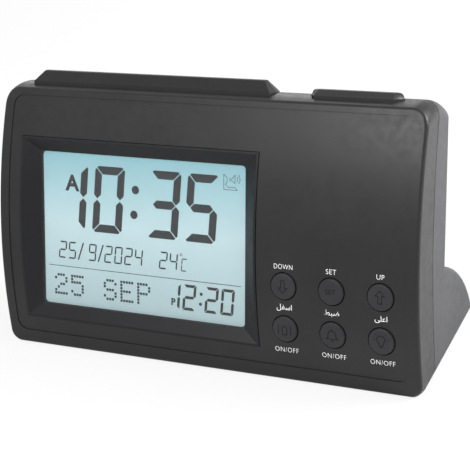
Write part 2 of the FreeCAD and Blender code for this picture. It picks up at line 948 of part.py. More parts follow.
def bevel_cutter(name):
    """The space in front of the display: four sloped sides from the bowed rim in to the window."""
    bulge = number("bulge")
    half = number("plate_height") / 2
    radius = (half ** 2 + bulge ** 2) / (2 * bulge)
    face = number("border_step - bezel_proud")
    centre = Vector(number("bezel_centre_x"), 0, number("bezel_centre_height"))
    rim = (number("bezel_width / 2 - bezel_rim"), number("bezel_height / 2 - bezel_rim"))
    window = (number("window_width / 2"), number("window_height / 2"))

    def surface(height):
        return face + radius - bulge - (radius ** 2 - (height - half) ** 2) ** 0.5

    def corners(size, depth):
        turns = ((-1, -1), (1, -1), (1, 1), (-1, 1))
        return [Vector(centre.x + x * size[0], depth, centre.z + z * size[1]) for x, z in turns]

    def rectangle(size, depth):
        return Part.makePolygon(corners(size, depth) + corners(size, depth)[:1])

    places = [Vector(place.x, surface(place.z), place.z) for place in corners(rim, 0)]
    edges = []
    for start, end in zip(places, places[1:] + places[:1]):
        if abs(start.z - end.z) < 1e-6:
            edges.append(Part.LineSegment(start, end).toShape())
        else:
            top = Vector(start.x, surface(centre.z), centre.z)
            edges.append(Part.Arc(start, top, end).toShape())
    wires = [rectangle(window, number("window_lip_depth")), Part.Wire(edges), rectangle(rim, -3 * bulge)]
    cutter = doc.addObject("Part::Feature", name)
    cutter.Shape = Part.makeLoft(wires, True, True)
    return cutter


LIP_REBATE = "glass_width + 2 * glass_fit", "glass_height + 2 * glass_fit"
BOARD_SCREWS = [
    (
        f"bezel_centre_x + {across} * (carrier_width / 2 - board_screw_inset)",
        f"bezel_centre_height + {up} * board_screw_spread / 2",
    )
    for across in (-1, 1)
    for up in (-1, 1)
]


def board_screw_rods(name, radius, front, back):
    return [
        rod(f"{name}_{place}", "y", radius, (x, front, height), f"({back}) - ({front})")
        for place, (x, height) in enumerate(BOARD_SCREWS)
    ]


GLASS_FRONT = "(window_lip_depth + lens_thickness + stack_gap)"
GLASS_BACK = f"({GLASS_FRONT} + glass_thickness)"
GUIDE_BACK = f"({GLASS_BACK} + stack_gap + guide_thickness)"
BOARD_BACK = "(main_board_depth + board_thickness)"
SCREW_TIP = f"({BOARD_BACK} - board_screw_length)"

keep(
    "display_bezel",
    cut(
        "bezel_solid",
        fuse(
            "bezel_and_flange",
            display_block("bezel_body", "0", "bezel_flange_back", "border_step - bezel_proud"),
            display_block("bezel_flange", "bezel_flange", "bezel_flange_back", "wall + stack_gap"),
        ),
        bevel_cutter("bevel"),
        display_plate("window", "window_width", "window_height", "-2 * bulge", "wall"),
        display_plate("glass_rebate", *LIP_REBATE, "window_lip_depth", "wall"),
        *board_screw_rods(
            "bezel_pilot", "small_screw_radius + thread_fit", f"{SCREW_TIP} - thread_fit", "wall"
        ),
    ),
)
keep(
    "display_lens",
    display_plate(
        "lens", "glass_width", "glass_height", "window_lip_depth", "window_lip_depth + lens_thickness"
    ),
)
keep("lcd_panel", display_plate("glass", "glass_width", "glass_height", GLASS_FRONT, GLASS_BACK))
keep(
    "light_guide",
    display_plate("guide", "guide_width", "guide_height", f"{GLASS_BACK} + stack_gap", GUIDE_BACK),
)
STRIP_OFFSET = "(glass_height / 2 - strip_thickness / 2 - glass_fit)"
keep(
    "lcd_connectors",
    group(
        "connector_strips",
        [
            box(
                f"connector_strip_{place}",
                (
                    "bezel_centre_x - strip_length / 2",
                    GLASS_BACK,
                    f"bezel_centre_height + {side} * {STRIP_OFFSET} - strip_thickness / 2",
                ),
                (
                    "bezel_centre_x + strip_length / 2",
                    "main_board_depth",
                    f"bezel_centre_height + {side} * {STRIP_OFFSET} + strip_thickness / 2",
                ),
            )
            for place, side in enumerate((-1, 1))
        ],
    ),
)
keep(
    "lcd_carrier",
    cut(
        "carrier_solid",
        display_plate(
            "carrier_block", "carrier_width", "carrier_height",
            "bezel_flange_back + stack_gap", "main_board_depth - stack_gap",
        ),
        display_plate("carrier_hollow", *LIP_REBATE, "0", "main_board_depth + wall"),
        *board_screw_rods("carrier_way", "small_screw_radius + screw_fit", "0", "main_board_depth + wall"),
    ),
)
keep(
    "backlight_leds",
    group(
        "led_row",
        [
            box(
                f"led_{place}",
                (
                    "bezel_centre_x + guide_width / 2 + stack_gap",
                    f"{GLASS_BACK} + led_setback",
                    f"bezel_centre_height + {place} * led_pitch - led_length / 2",
                ),
                (
                    "bezel_centre_x + guide_width / 2 + stack_gap + led_width",
                    "main_board_depth",
                    f"bezel_centre_height + {place} * led_pitch + led_length / 2",
                ),
            )
            for place in (-1, 0, 1)
        ],
    ),
)
keep(
    "main_board",
    cut(
        "main_board_solid",
        display_plate("main_board_plate", "carrier_width", "carrier_height", "main_board_depth", BOARD_BACK),
        *board_screw_rods(
            "board_way", "small_screw_radius + screw_fit", "main_board_depth - wall", f"{BOARD_BACK} + wall"
        ),
    ),
)


def chip(name, across, up, width, height, thickness):
    """A part soldered on the back of the main board, placed from the display's centre."""
    return box(
        name,
        (
            f"bezel_centre_x + {across} - {width} / 2",
            BOARD_BACK,
            f"bezel_centre_height + {up} - {height} / 2",
        ),
        (
            f"bezel_centre_x + {across} + {width} / 2",
            f"{BOARD_BACK} + {thickness}",
            f"bezel_centre_height + {up} + {height} / 2",
        ),
    )


def can(name, across, up, radius, length):
    """A round part standing on the back of the main board."""
    place = (f"bezel_centre_x + {across}", BOARD_BACK, f"bezel_centre_height + {up}")
    return rod(name, "y", radius, place, length)


keep(
    "board_chips",
    group(
        "chips",
        [
            chip("clock_chip", "-chip_offset", "0", "chip_width", "chip_width", "chip_thickness"),
            chip("voice_chip", "chip_offset", "0", "chip_width", "chip_width", "chip_thickness"),
            chip(
                "voice_memory", "chip_offset", "-chip_offset", "memory_width", "memory_height", "chip_thickness"
            ),
            chip("crystal", "-chip_offset", "chip_offset", "crystal_length", "crystal_width", "crystal_width"),
            can("capacitor_left", "0", "-chip_offset", "capacitor_radius", "capacitor_length"),
            can("capacitor_right", "0", "chip_offset", "capacitor_radius", "capacitor_length"),
        ],
    ),
)


def screw(name, sizes, seat, shank, points):
    """A pan-head screw along Y; its shank points forward or backward from the seat under its head."""
    radius, head_radius, head_height = sizes
    x, depth, height = seat
    if points == "forward":
        shank_start, head_start = f"{depth} - ({shank})", depth
    else:
        shank_start, head_start = f"{depth} - {head_height} / 2", f"{depth} - {head_height}"
    return fuse(
        name,
        rod(name + "_shank", "y", radius, (x, shank_start, height), f"{shank} + {head_height} / 2"),
        rod(name + "_head", "y", head_radius, (x, head_start, height), head_height),
    )


def screws(node, places, sizes, depth, shank, points="forward"):
    keep(
        node,
        group(
            node + "_set",
            [
                screw(f"{node}_{place}", sizes, (x, depth, height), shank, points)
                for place, (x, height) in enumerate(places)
            ],
        ),
    )


SMALL_SCREW = ("small_screw_radius", "small_head_radius", "small_head_height")
RING_SCREW = ("ring_screw_radius", "ring_head_radius", "ring_head_height")
RING_SCREW_REACH = "ring_thickness + ring_screw_depth - stack_gap"
HOUSING_SCREW = ("screw_radius", "screw_head_radius", "screw_head_height")
KEY_BOARD_BACK = "(key_board_depth + board_thickness)"

screws("board_screws", BOARD_SCREWS, SMALL_SCREW, BOARD_BACK, "board_screw_length")
screws("key_board_screws", KEY_POSTS, SMALL_SCREW, KEY_BOARD_BACK, "board_thickness + small_screw_depth")
screws("housing_screws", HOUSING_SCREWS, HOUSING_SCREW, "(slab_depth - well_depth)", "housing_screw_length")

# Keys, their mat and their board


def key(name, x, height):
    """A round cap with a retaining flange behind the front wall and a short stem."""

    def cap_rod(tag, radius):
        return rod(f"{name}_{tag}_rod", "y", radius, (x, "-3 * bulge", height), "3 * bulge + key_flange_back")

    face = behind_front(f"{name}_face", "border_step - key_proud")
    cap = common(f"{name}_cap", cap_rod("cap", "key_radius"), face)
    soft_cap = fillet(
        f"{name}_soft_cap", cap, "key_rim_radius",
        lambda edge: edge.BoundBox.YMax < number("key_flange_back") - SAME and not runs_along(edge, Y_AXIS),
    )
    flange = common(
        f"{name}_flange",
        cap_rod("flange", "key_radius + key_flange"),
        behind_front(f"{name}_stop", "wall + key_flange_gap"),
    )
    stem_end = "key_board_depth - key_mat_thickness - dome_height - key_travel - key_dome_gap"
    stem_start = (x, "key_flange_back / 2", height)
    stem = rod(f"{name}_stem", "y", "key_stem_radius", stem_start, f"{stem_end} - key_flange_back / 2")
    keep(name, fuse(f"{name}_solid", soft_cap, flange, stem))


for line, height in enumerate(KEY_ROWS):
    for column, x in enumerate(KEY_COLUMNS):
        key(KEY_NODES[line][column], x, height)

MAT_FRONT = "(key_board_depth - key_mat_thickness)"
keep(
    "key_mat",
    fuse(
        "key_mat_solid",
        box(
            "mat_sheet",
            ("key_first_x - key_mat_margin_x", MAT_FRONT, "key_lower_height - key_mat_margin_up"),
            (
                "key_first_x + 2 * key_pitch + key_mat_margin_x",
                "key_board_depth",
                "key_upper_height + key_mat_margin_up",
            ),
        ),
        *[
            cone(
                f"mat_dome_{line}_{column}", "y", "dome_radius - dome_height", "dome_radius",
                (x, f"{MAT_FRONT} - dome_height", height), "dome_height + key_mat_thickness / 2",
            )
            for line, height in enumerate(KEY_ROWS)
            for column, x in enumerate(KEY_COLUMNS)
        ],
    ),
)
keep(
    "key_board",
    cut(
        "key_board_solid",
        box(
            "key_board_plate",
            ("key_first_x - key_board_lap", "key_board_depth", "key_post_lower - key_board_margin"),
            (
                "key_first_x + 2 * key_pitch + key_board_lap",
                KEY_BOARD_BACK,
                "key_post_upper + key_board_margin",
            ),
        ),
        *[
            rod(
                f"key_board_way_{place}", "y", "small_screw_radius + screw_fit",
                (x, "key_board_depth - wall", height), "board_thickness + 2 * wall",
            )
            for place, (x, height) in enumerate(KEY_POSTS)
        ],
    ),
)

# Top bars with their switches


def bar_cap(name, plan, rise, wall_height, end_slope):
    """The part of a bar above the case: upright walls, then sloped faces up to a smaller top."""
    centre, length, point, front, back = plan
    body = doc.addObject("PartDesign::Body", name)
    walls = sketch(body, name + "_walls", "XY_Plane", bar_outline(*plan), "plate_height - wall / 2")
    pad = body.newObject("PartDesign::Pad", name + "_pad")
    pad.Profile = walls
    bind(pad, "Length", f"wall / 2 + {wall_height}")
    low = sketch(body, name + "_low", "XY_Plane", bar_outline(*plan), f"plate_height + {wall_height}")
    top_front = f"({front} + bar_face_slope)"
    top_back = f"({back} - bar_face_slope)"
    top_plan = bar_outline(centre, f"({length} - 2 * {end_slope})", point, top_front, top_back)
    top = sketch(body, name + "_top", "XY_Plane", top_plan, f"plate_height + {rise}")
    loft = body.newObject("PartDesign::AdditiveLoft", name + "_loft")
    loft.Profile = low
    loft.Sections = [top]
    loft.Ruled = True
    doc.recompute()
    soft = body.newObject("PartDesign::Fillet", name + "_soft")
    edges = [
        f"Edge{place}"
        for place, edge in enumerate(loft.Shape.Edges, start=1)
        if edge.BoundBox.ZMin > number(f"plate_height + {rise}") - SAME
    ]
    soft.Base = (loft, edges)
    bind(soft, "Radius", "bar_round")
    return body


def bar(node, plan, rise, wall_height, end_slope, plungers):
    """A top bar: cap, skirt through the case's opening, flange under its top wall, hollow inside."""
    centre, length, point, front, back = plan
    skirt = bar_plate(node + "_skirt", bar_outline(*plan), BAR_UNDERSIDE, "plate_height")
    flange = bar_plate(node + "_flange", bar_outline(*plan, "bar_flange"), BAR_UNDERSIDE, BAR_TOP)
    hollow = box(
        node + "_hollow",
        (f"{centre} - {length} / 2 + bar_wall", f"{front} + bar_wall", f"{BAR_UNDERSIDE} - wall"),
        (f"{centre} + {length} / 2 - bar_wall", f"{back} - bar_wall", f"plate_height + {wall_height}"),
    )
    cap = bar_cap(node + "_cap", plan, rise, wall_height, end_slope)
    shell = cut(node + "_shell", fuse(node + "_whole", cap, skirt, flange), hollow)
    feet = [
        rod(
            f"{node}_foot_{place}", "z", "plunger_radius",
            (x, depth, BAR_UNDERSIDE), f"plate_height + {wall_height} + wall / 4 - {BAR_UNDERSIDE}",
        )
        for place, (x, depth) in enumerate(plungers)
    ]
    keep(node, fuse(node + "_solid", shell, *feet))


SNOOZE_SWITCHES = [(f"snooze_centre_x + {side} * snooze_length / 4", "snooze_mid_depth") for side in (-1, 1)]
LIGHT_SWITCHES = [("light_centre_x", "light_mid_depth")]

bar("snooze_bar", SNOOZE, "snooze_height", "snooze_wall_height", "snooze_end_slope", SNOOZE_SWITCHES)
bar("light_button", LIGHT, "light_height", "light_wall_height", "light_end_slope", LIGHT_SWITCHES)
keep(
    "top_board",
    box(
        "top_board_plate",
        ("top_board_left", "top_board_front", f"{TOP_BOARD_FACE} - board_thickness"),
        ("top_board_right", "top_board_front + top_board_depth", TOP_BOARD_FACE),
    ),
)
keep(
    "top_switches",
    group(
        "switch_set",
        [
            fuse(
                f"switch_{place}",
                box(
                    f"switch_body_{place}",
                    (f"{x} - switch_size / 2", f"{depth} - switch_size / 2", TOP_BOARD_FACE),
                    (f"{x} + switch_size / 2", f"{depth} + switch_size / 2", SWITCH_TOP),
                ),
                rod(
                    f"switch_plunger_{place}", "z", "plunger_radius",
                    (x, depth, f"{SWITCH_TOP} - switch_height / 2"), "switch_height / 2 + plunger_height",
                ),
            )
            for place, (x, depth) in enumerate(SNOOZE_SWITCHES + LIGHT_SWITCHES)
        ],
    ),
)

# Speaker behind the rear grille

BASKET_BACK = f"({SPEAKER_FACE} - speaker_depth)"


def speaker_cone(name, start_radius, end_radius, depth, length):
    return cone(name, "y", start_radius, end_radius, ("speaker_x", depth, "speaker_height"), length)


keep(
    "speaker_basket",
    cut(
        "basket_solid",
        fuse(
            "basket_outer",
            speaker_rod("basket_flange", "speaker_radius", SPEAKER_FACE, "speaker_flange_thickness"),
            speaker_cone(
                "basket_cup", "magnet_radius + speaker_wall", "cone_radius + 2 * speaker_wall",
                BASKET_BACK, "speaker_depth",
            ),
        ),
        speaker_cone(
            "basket_hollow", "magnet_radius", "cone_radius + speaker_wall",
            f"{BASKET_BACK} + speaker_wall", "speaker_depth - speaker_wall",
        ),
        speaker_rod("basket_mouth", "cone_radius + speaker_wall", SPEAKER_FACE, "wall"),
    ),
)
keep(
    "speaker_magnet",
    speaker_rod("magnet", "magnet_radius", f"{BASKET_BACK} - magnet_thickness", "magnet_thickness"),
)
CONE_MOUTH = f"({SPEAKER_FACE} + cone_thickness)"
CONE_NECK = f"({CONE_MOUTH} - cone_rise)"
keep(
    "speaker_cone",
    fuse(
        "cone_solid",
        cut(
            "cone_skirt",
            speaker_cone("cone_outer", "cone_neck_radius", "cone_radius", CONE_NECK, "cone_rise"),
            speaker_cone(
                "cone_inner", "cone_neck_radius - 2 * cone_thickness", "cone_radius - cone_thickness",
                CONE_NECK, "cone_rise",
            ),
        ),
        cut(
            "cone_edge",
            speaker_rod(
                "cone_edge_outer", "cone_radius + speaker_wall - stack_gap", SPEAKER_FACE, "cone_thickness"
            ),
            speaker_rod(
                "cone_edge_inner", "cone_radius - cone_thickness", f"{SPEAKER_FACE} - wall", "2 * wall"
            ),
        ),
        speaker_cone("dust_cap", "cone_neck_radius", "cone_neck_radius / 2", CONE_NECK, "cone_neck_radius / 3"),
    ),
)
keep(
    "speaker_ring",
    cut(
        "ring_solid",
        speaker_rod(
            "ring_outer", "speaker_radius + ring_width", f"{SPEAKER_FACE} - ring_thickness", "ring_thickness"
        ),
        speaker_rod(
            "ring_inner", "speaker_radius - ring_overlap",
            f"{SPEAKER_FACE} - wall - ring_thickness", "2 * wall + ring_thickness",
        ),
        *[
            rod(
                f"ring_way_{place}", "y", "ring_screw_radius + screw_fit",
                (x, f"{SPEAKER_FACE} - wall - ring_thickness", height), "2 * wall + ring_thickness",
            )
            for place, (x, height) in enumerate(RING_SCREWS)
        ],
    ),
)
RING_FACE = f"({SPEAKER_FACE} - ring_thickness)"
screws("speaker_screws", RING_SCREWS, RING_SCREW, RING_FACE, RING_SCREW_REACH, "backward")

# Batteries, contacts and door, in the upright frame

keep_upright(
    "battery_door",
    common(
        "door_solid",
        heel_side("door_heel", "0", "width / 2"),
        fuse(
            "door_blocks",
            box(
                "door_plate",
                ("-(bay_half - door_gap)", "door_front + door_gap", "door_recess"),
                ("bay_half - door_gap", "heel_back", DOOR_TOP),
            ),
            box(
                "door_back",
                ("-(bay_half - door_gap)", "heel_back - wall", "door_recess"),
                ("bay_half - door_gap", "heel_back", "door_rear_height"),
            ),
            box(
                "door_rails",
                ("-(bay_half + door_rail)", "door_front + door_gap", "door_rail_low"),
                ("bay_half + door_rail", "cell_depth", "door_rail_high"),
            ),
        ),
    ),
)

SPRING_END = "(contact_thickness + spring_length)"


def cell(name, start):
    """A round cell lying along X with its small terminal at the right."""
    body_length = "(cell_length - terminal_height)"
    return fuse(
        name,
        rod(name + "_can", "x", "cell_radius", (start, "cell_depth", CELL_HEIGHT), body_length),
        rod(
            name + "_terminal", "x", "terminal_radius",
            (f"{start} + {body_length} / 2", "cell_depth", CELL_HEIGHT), f"{body_length} / 2 + terminal_height",
        ),
    )


keep_upright(
    "batteries",
    group(
        "cells",
        [
            cell("cell_left", f"-bay_half + {SPRING_END}"),
            cell("cell_right", f"-bay_half + {SPRING_END} + cell_length"),
        ],
    ),
)


def contact(name, start):
    half = "contact_width / 2"
    return box(
        name,
        (start, f"cell_depth - {half}", f"{CELL_HEIGHT} - {half}"),
        (f"{start} + contact_thickness", f"cell_depth + {half}", f"{CELL_HEIGHT} + {half}"),
    )


keep_upright(
    "battery_contacts",
    group(
        "contacts",
        [contact("contact_left", "-bay_half"), contact("contact_right", "bay_half - contact_thickness")],
    ),
)


def battery_spring(name):
    """A helix of round wire between the left contact and the first cell."""
    wire = number("spring_wire")
    radius = number("spring_radius")
    length = number("spring_length - 2 * spring_wire - stack_gap")
    helix = Part.makeHelix(length / number("spring_turns"), length, radius)
    ring = Part.Wire(Part.makeCircle(wire, Vector(radius, 0, 0), Vector(0, 1, 0)))
    coil = Part.Wire(helix.Edges).makePipeShell([ring], True, True)
    start_x = number("-bay_half + contact_thickness + spring_wire")
    spring = doc.addObject("Part::Feature", name)
    spring.Shape = coil
    spring.Placement = Placement(Vector(start_x, number("cell_depth"), number(CELL_HEIGHT)), ALONG["x"])
    return spring


keep_upright("battery_spring", group("spring_piece", [battery_spring("spring_coil")]))
keep_upright(
    "foot_pads",
    group(
        "pads",
        [
            rod(f"pad_{place}", "z", "pad_radius", (x, depth, "-pad_proud"), "pad_thickness")
            for place, (x, depth) in enumerate(PADS)
        ],
    ),
)

# Stand the clock on the table, centre it and write the pieces

doc.recompute()
bounds = FreeCAD.BoundBox()
for piece in PARTS.values():
    bounds.add(piece.Shape.optimalBoundingBox(False, False))
shift = Vector(-bounds.Center.x, -bounds.Center.y, -bounds.ZMin)
for piece in PARTS.values():
    piece.Placement = Placement(shift, Rotation()).multiply(piece.Placement)
doc.recompute()

for thing in doc.Objects:
    if "Invalid" in thing.State or "Error" in thing.State:
        raise ValueError(f"{thing.Name} did not build: {thing.State}")
for node, piece in PARTS.items():
    if piece.Shape.isNull() or not piece.Shape.isValid() or not piece.Shape.Solids:
        raise ValueError(f"{node} is not a valid solid")

os.makedirs("parts", exist_ok=True)
for node, piece in PARTS.items():
    piece.Shape.exportStep(f"parts/{node}.step")
print(len(PARTS), "pieces, moved by", shift, "bounds", bounds)
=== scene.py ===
"""Looks of the desk clock: finishes, display segments, lettering, light and camera.

Lengths are in metres, in the frame of the CAD model: X to the viewer's right, Y away from the
viewer, Z up. Marks lie in the leaning slab's own frame: across (X), depth back from the front
plate's chord, and height up along the plate. Marks are drawn in millimetres from their middle.
"""
import math
from collections import namedtuple

import bmesh
import bpy
from mathutils import Matrix, Vector


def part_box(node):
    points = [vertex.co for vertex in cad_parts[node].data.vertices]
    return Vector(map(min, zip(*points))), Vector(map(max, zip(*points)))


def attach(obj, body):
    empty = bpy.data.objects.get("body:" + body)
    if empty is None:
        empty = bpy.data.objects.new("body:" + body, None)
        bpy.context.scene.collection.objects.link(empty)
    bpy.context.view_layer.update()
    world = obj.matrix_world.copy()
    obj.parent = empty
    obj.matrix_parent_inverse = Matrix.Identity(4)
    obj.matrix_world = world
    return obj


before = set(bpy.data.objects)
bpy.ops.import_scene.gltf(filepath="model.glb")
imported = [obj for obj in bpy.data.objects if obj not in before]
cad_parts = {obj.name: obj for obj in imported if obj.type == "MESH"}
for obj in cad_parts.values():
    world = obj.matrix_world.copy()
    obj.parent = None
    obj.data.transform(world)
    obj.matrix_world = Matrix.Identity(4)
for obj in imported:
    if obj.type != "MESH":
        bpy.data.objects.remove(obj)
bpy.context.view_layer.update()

MM = 0.001

# The leaning slab, with the sizes of the CAD model

LEAN = math.radians(25)
PLATE_HEIGHT = 87.5 * MM
CROWN_TOP = 89.2 * MM
BULGE = 5.8 * MM
BORDER_STEP = 0.3 * MM
KEY_PROUD = 0.7 * MM

ACROSS = Vector((1, 0, 0))
BACK = Vector((0, math.cos(LEAN), -math.sin(LEAN)))
UP = Vector((0, math.sin(LEAN), math.cos(LEAN)))

SWITCH_KEYS = ["azan_key", "alarm_key", "lamp_key"]
KEYS = ["down_key", "set_key", "up_key"] + SWITCH_KEYS


def slab_box(node):
    """Lowest and highest (across, depth, height) of a node, along the slab's own directions."""
    places = [vertex.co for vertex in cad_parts[node].data.vertices]
    spans = [[place.dot(way) for place in places] for way in (ACROSS, BACK, UP)]
    return Vector(map(min, spans)), Vector(map(max, spans))


plate_low, plate_high = slab_box("front_housing")
ORIGIN = BACK * (plate_low.y + BULGE) + UP * (plate_high.z - CROWN_TOP)


def in_slab(across, depth, height):
    return ORIGIN + ACROSS * across + BACK * depth + UP * height


def slab_middle(node):
    """Middle of a node, as (across, height)."""
    low, high = slab_box(node)
    middle = (low + high) / 2
    return middle.x, middle.z - ORIGIN.dot(UP)


def bowed_depth(height, shift):
    """Depth of the bowed front surface at a height up the plate."""
    half = PLATE_HEIGHT / 2
    radius = (half ** 2 + BULGE ** 2) / (2 * BULGE)
    return shift + radius - BULGE - math.sqrt(radius ** 2 - (height - half) ** 2)


# Surfaces that marks lie on: each gives its depth at a height

DISPLAY_MIDDLE = slab_middle("lcd_panel")
GLASS_DEPTH = slab_box("lcd_panel")[0].y - ORIGIN.dot(BACK)


def glass_surface(height):
    return GLASS_DEPTH


def panel_surface(height):
    return bowed_depth(height, BORDER_STEP)


def key_surface(height):
    return bowed_depth(height, BORDER_STEP - KEY_PROUD)


# Colours, linear

CHARCOAL = (0.017, 0.0171, 0.0182)
BAR_CHARCOAL = (0.0125, 0.0126, 0.0132)
CHARCOAL_REAR = (0.056, 0.0565, 0.0595)
BEZEL_BLACK = (0.0105, 0.0108, 0.012)
KEY_BLACK = (0.027, 0.027, 0.029)
# Painted shade of the grooves of the signs moulded into the keys
KEY_GROOVE_SHADE = (0.011, 0.011, 0.012)
RUBBER_BLACK = (0.03, 0.03, 0.03)
CHIP_BLACK = (0.02, 0.02, 0.02)
CONE_BLACK = (0.035, 0.034, 0.033)
FERRITE_GREY = (0.06, 0.06, 0.062)
OFF_WHITE = (0.75, 0.75, 0.72)
GUIDE_BLUE = (0.72, 0.82, 0.88)
STEEL_GREY = (0.55, 0.55, 0.56)
NICKEL_GREY = (0.66, 0.64, 0.58)
MASK_GREEN = (0.012, 0.09, 0.03)
TRACK_GREEN = (0.03, 0.16, 0.06)
LCD_PALE = (0.35, 0.47, 0.495)
# Painted shadow of the bezel across the top of the display
LCD_SHADOWED_TOP = (0.165, 0.34, 0.385)
LCD_DARK = (0.01, 0.013, 0.015)
LCD_FAINT = (0.07, 0.1, 0.11)
WINDOW_BORDER = (0.008, 0.008, 0.009)
CLEAR_DARKER = (0.85, 0.92, 0.95)
CLEAR_LIGHTER = (0.95, 0.97, 1.0)
SLEEVE_BLUE = (0.05, 0.16, 0.35)
SLEEVE_COPPER = (0.72, 0.36, 0.12)
WHITE_INK = (0.93, 0.93, 0.94)
FLOOR_WHITE = (0.9, 0.9, 0.9)

# Finishes

CLOUD_SIZE = 18 * MM
CLOUD_SPREAD = 0.12
SHEEN_SIZE = 2.5 * MM
ROUGHNESS_SPREAD = 0.05
STREAK_SCALE = 900.0
STREAK_STRETCH = 12.0
TRACK_SCALE = 420.0
TRACK_WIDTH = 0.06
# Painted glow on the display, which evens out the light across it
PAINTED_LCD_GLOW = 0.5
# Painted shade towards the display's foot
LCD_FOOT_SHADE = 0.74
WINDOW_ALPHA = 0.03
BAND_START, BAND_END = 0.7, 0.72
DULL = 0.1


class Finish:
    """A node material with one Principled shader and short ways to add what feeds it."""

    def __init__(self, name):
        self.material = bpy.data.materials.new(name)
        self.material.use_nodes = True
        self.nodes = self.material.node_tree.nodes
        self.links = self.material.node_tree.links
        self.shader = self.nodes["Principled BSDF"]
        self.place = self.nodes.new("ShaderNodeTexCoord").outputs["Object"]

    def node(self, kind, **values):
        """A new node, with values for its inputs; an underscore stands for a space."""
        made = self.nodes.new(kind)
        for slot, value in values.items():
            made.inputs[slot.replace("_", " ")].default_value = value
        return made

    def noise(self, size, detail=2.0):
        """Noise with blotches of about the given size."""
        made = self.node("ShaderNodeTexNoise", Scale=1 / size, Detail=detail)
        self.links.new(self.place, made.inputs["Vector"])
        return made.outputs["Fac"]

    def coordinate(self, axis):
        made = self.node("ShaderNodeSeparateXYZ")
        self.links.new(self.place, made.inputs["Vector"])
        return made.outputs[axis]

    def share(self, source, low, high):
        """The part of the way that the source has gone from low to high."""
        made = self.node("ShaderNodeMapRange", From_Min=low, From_Max=high)
        self.links.new(source, made.inputs["Value"])
        return made.outputs["Result"]

    def ramp(self, source, low, high, start=0.3, end=0.7):
        """A colour or grey that goes from low to high as the source goes from start to end."""
        made = self.nodes.new("ShaderNodeValToRGB")
        for element, at, colour in zip(made.color_ramp.elements, (start, end), (low, high)):
            element.position = at
            element.color = (*colour, 1) if hasattr(colour, "__len__") else (colour, colour, colour, 1)
        self.links.new(source, made.inputs["Fac"])
        return made.outputs["Color"]

    def product(self, first, second):
        """Two colours multiplied."""
        made = self.nodes.new("ShaderNodeMix")
        made.data_type = "RGBA"
        made.blend_type = "MULTIPLY"
        made.inputs["Factor"].default_value = 1.0
        self.links.new(first, made.inputs["A"])
        self.links.new(second, made.inputs["B"])
        return made.outputs["Result"]

    def feed(self, source, slot):
        self.links.new(source, self.shader.inputs[slot])

    def vary(self, slot, size, low, high, detail=2.0):
        """Feed a slot with soft blotches of about the given size, from low to high."""
        self.feed(self.ramp(self.noise(size, detail), low, high), slot)

    def bump(self, source, height, strength):
        made = self.node("ShaderNodeBump", Strength=strength, Distance=height)
        self.links.new(source, made.inputs["Height"])
        self.feed(made.outputs["Normal"], "Normal")

    def set(self, **values):
        for slot, value in values.items():
            self.shader.inputs[slot.replace("_", " ")].default_value = value


def lighter(colour, factor):
    return tuple(min(1.0, part * factor) for part in colour)


def moulded(name, colour, roughness, grain=0.16 * MM, grain_height=0.012 * MM, specular=0.2):
    """Moulded plastic: fine spark-eroded grain, faint cloudiness in colour and gloss."""
    made = Finish(name)
    darker_colour, lighter_colour = lighter(colour, 1 - CLOUD_SPREAD), lighter(colour, 1 + CLOUD_SPREAD)
    made.vary("Base Color", CLOUD_SIZE, darker_colour, lighter_colour, detail=3.0)
    made.vary("Roughness", SHEEN_SIZE, roughness - ROUGHNESS_SPREAD, roughness + ROUGHNESS_SPREAD, detail=4.0)
    made.bump(made.noise(grain), grain_height, 0.6)
    made.set(Specular_IOR_Level=specular)
    return made.material


def metal(name, colour, roughness):
    """Drawn or plated metal with fine streaks."""
    made = Finish(name)
    mapping = made.node("ShaderNodeMapping", Scale=(1, STREAK_STRETCH, STREAK_STRETCH))
    made.links.new(made.place, mapping.inputs["Vector"])
    streaks = made.node("ShaderNodeTexNoise", Scale=STREAK_SCALE, Detail=3.0)
    made.links.new(mapping.outputs["Vector"], streaks.inputs["Vector"])
    source = streaks.outputs["Fac"]
    made.feed(made.ramp(source, lighter(colour, 0.85), lighter(colour, 1.1)), "Base Color")
    made.feed(made.ramp(source, roughness - 0.08, roughness + 0.1), "Roughness")
    made.bump(source, 0.01 * MM, 0.4)
    made.set(Metallic=1.0)
    return made.material


def circuit(name):
    """Solder mask over copper tracks on a coarse grid."""
    made = Finish(name)
    mask = (*MASK_GREEN, 1)
    bricks = made.node(
        "ShaderNodeTexBrick", Scale=TRACK_SCALE, Mortar_Size=TRACK_WIDTH, Mortar=(*TRACK_GREEN, 1),
        Color1=mask, Color2=mask,
    )
    made.links.new(made.place, bricks.inputs["Vector"])
    made.feed(bricks.outputs["Color"], "Base Color")
    made.vary("Roughness", 3 * MM, 0.3, 0.45)
    made.bump(bricks.outputs["Fac"], 0.03 * MM, 0.5)
    return made.material


def liquid_crystal(name):
    """Pale blue display glass with painted light: a painted shadow of the bezel darkens its top, painted
    shade darkens its foot, and a painted glow evens out the light across it.
    """
    made = Finish(name)
    low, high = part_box("lcd_panel")
    rise = made.share(made.coordinate("Z"), low.z, high.z)
    # Painted shadow of the bezel towards the top, painted shade towards the foot
    shade = made.ramp(rise, LCD_PALE, LCD_SHADOWED_TOP, 0.55, 1.0)
    shade = made.product(shade, made.ramp(rise, LCD_FOOT_SHADE, 1.0, 0.05, 0.55))
    shade = made.product(shade, made.ramp(made.noise(9 * MM), 0.97, 1.0))
    made.feed(shade, "Base Color")
    # The painted glow takes the same colour
    made.feed(shade, "Emission Color")
    made.vary("Roughness", 0.5 * MM, 0.5, 0.6)
    made.bump(made.noise(0.08 * MM), 0.002 * MM, 0.3)
    made.set(Emission_Strength=PAINTED_LCD_GLOW, Specular_IOR_Level=DULL)
    return made.material


def clear_window(name):
    """Clear plastic window: nearly all see-through, with a soft gloss."""
    made = Finish(name)
    made.vary("Roughness", 4 * MM, 0.04, 0.07)
    made.bump(made.noise(6 * MM), 0.002 * MM, 0.2)
    made.vary("Base Color", 12 * MM, CLEAR_DARKER, CLEAR_LIGHTER)
    made.set(Alpha=WINDOW_ALPHA, Specular_IOR_Level=DULL)
    return made.material


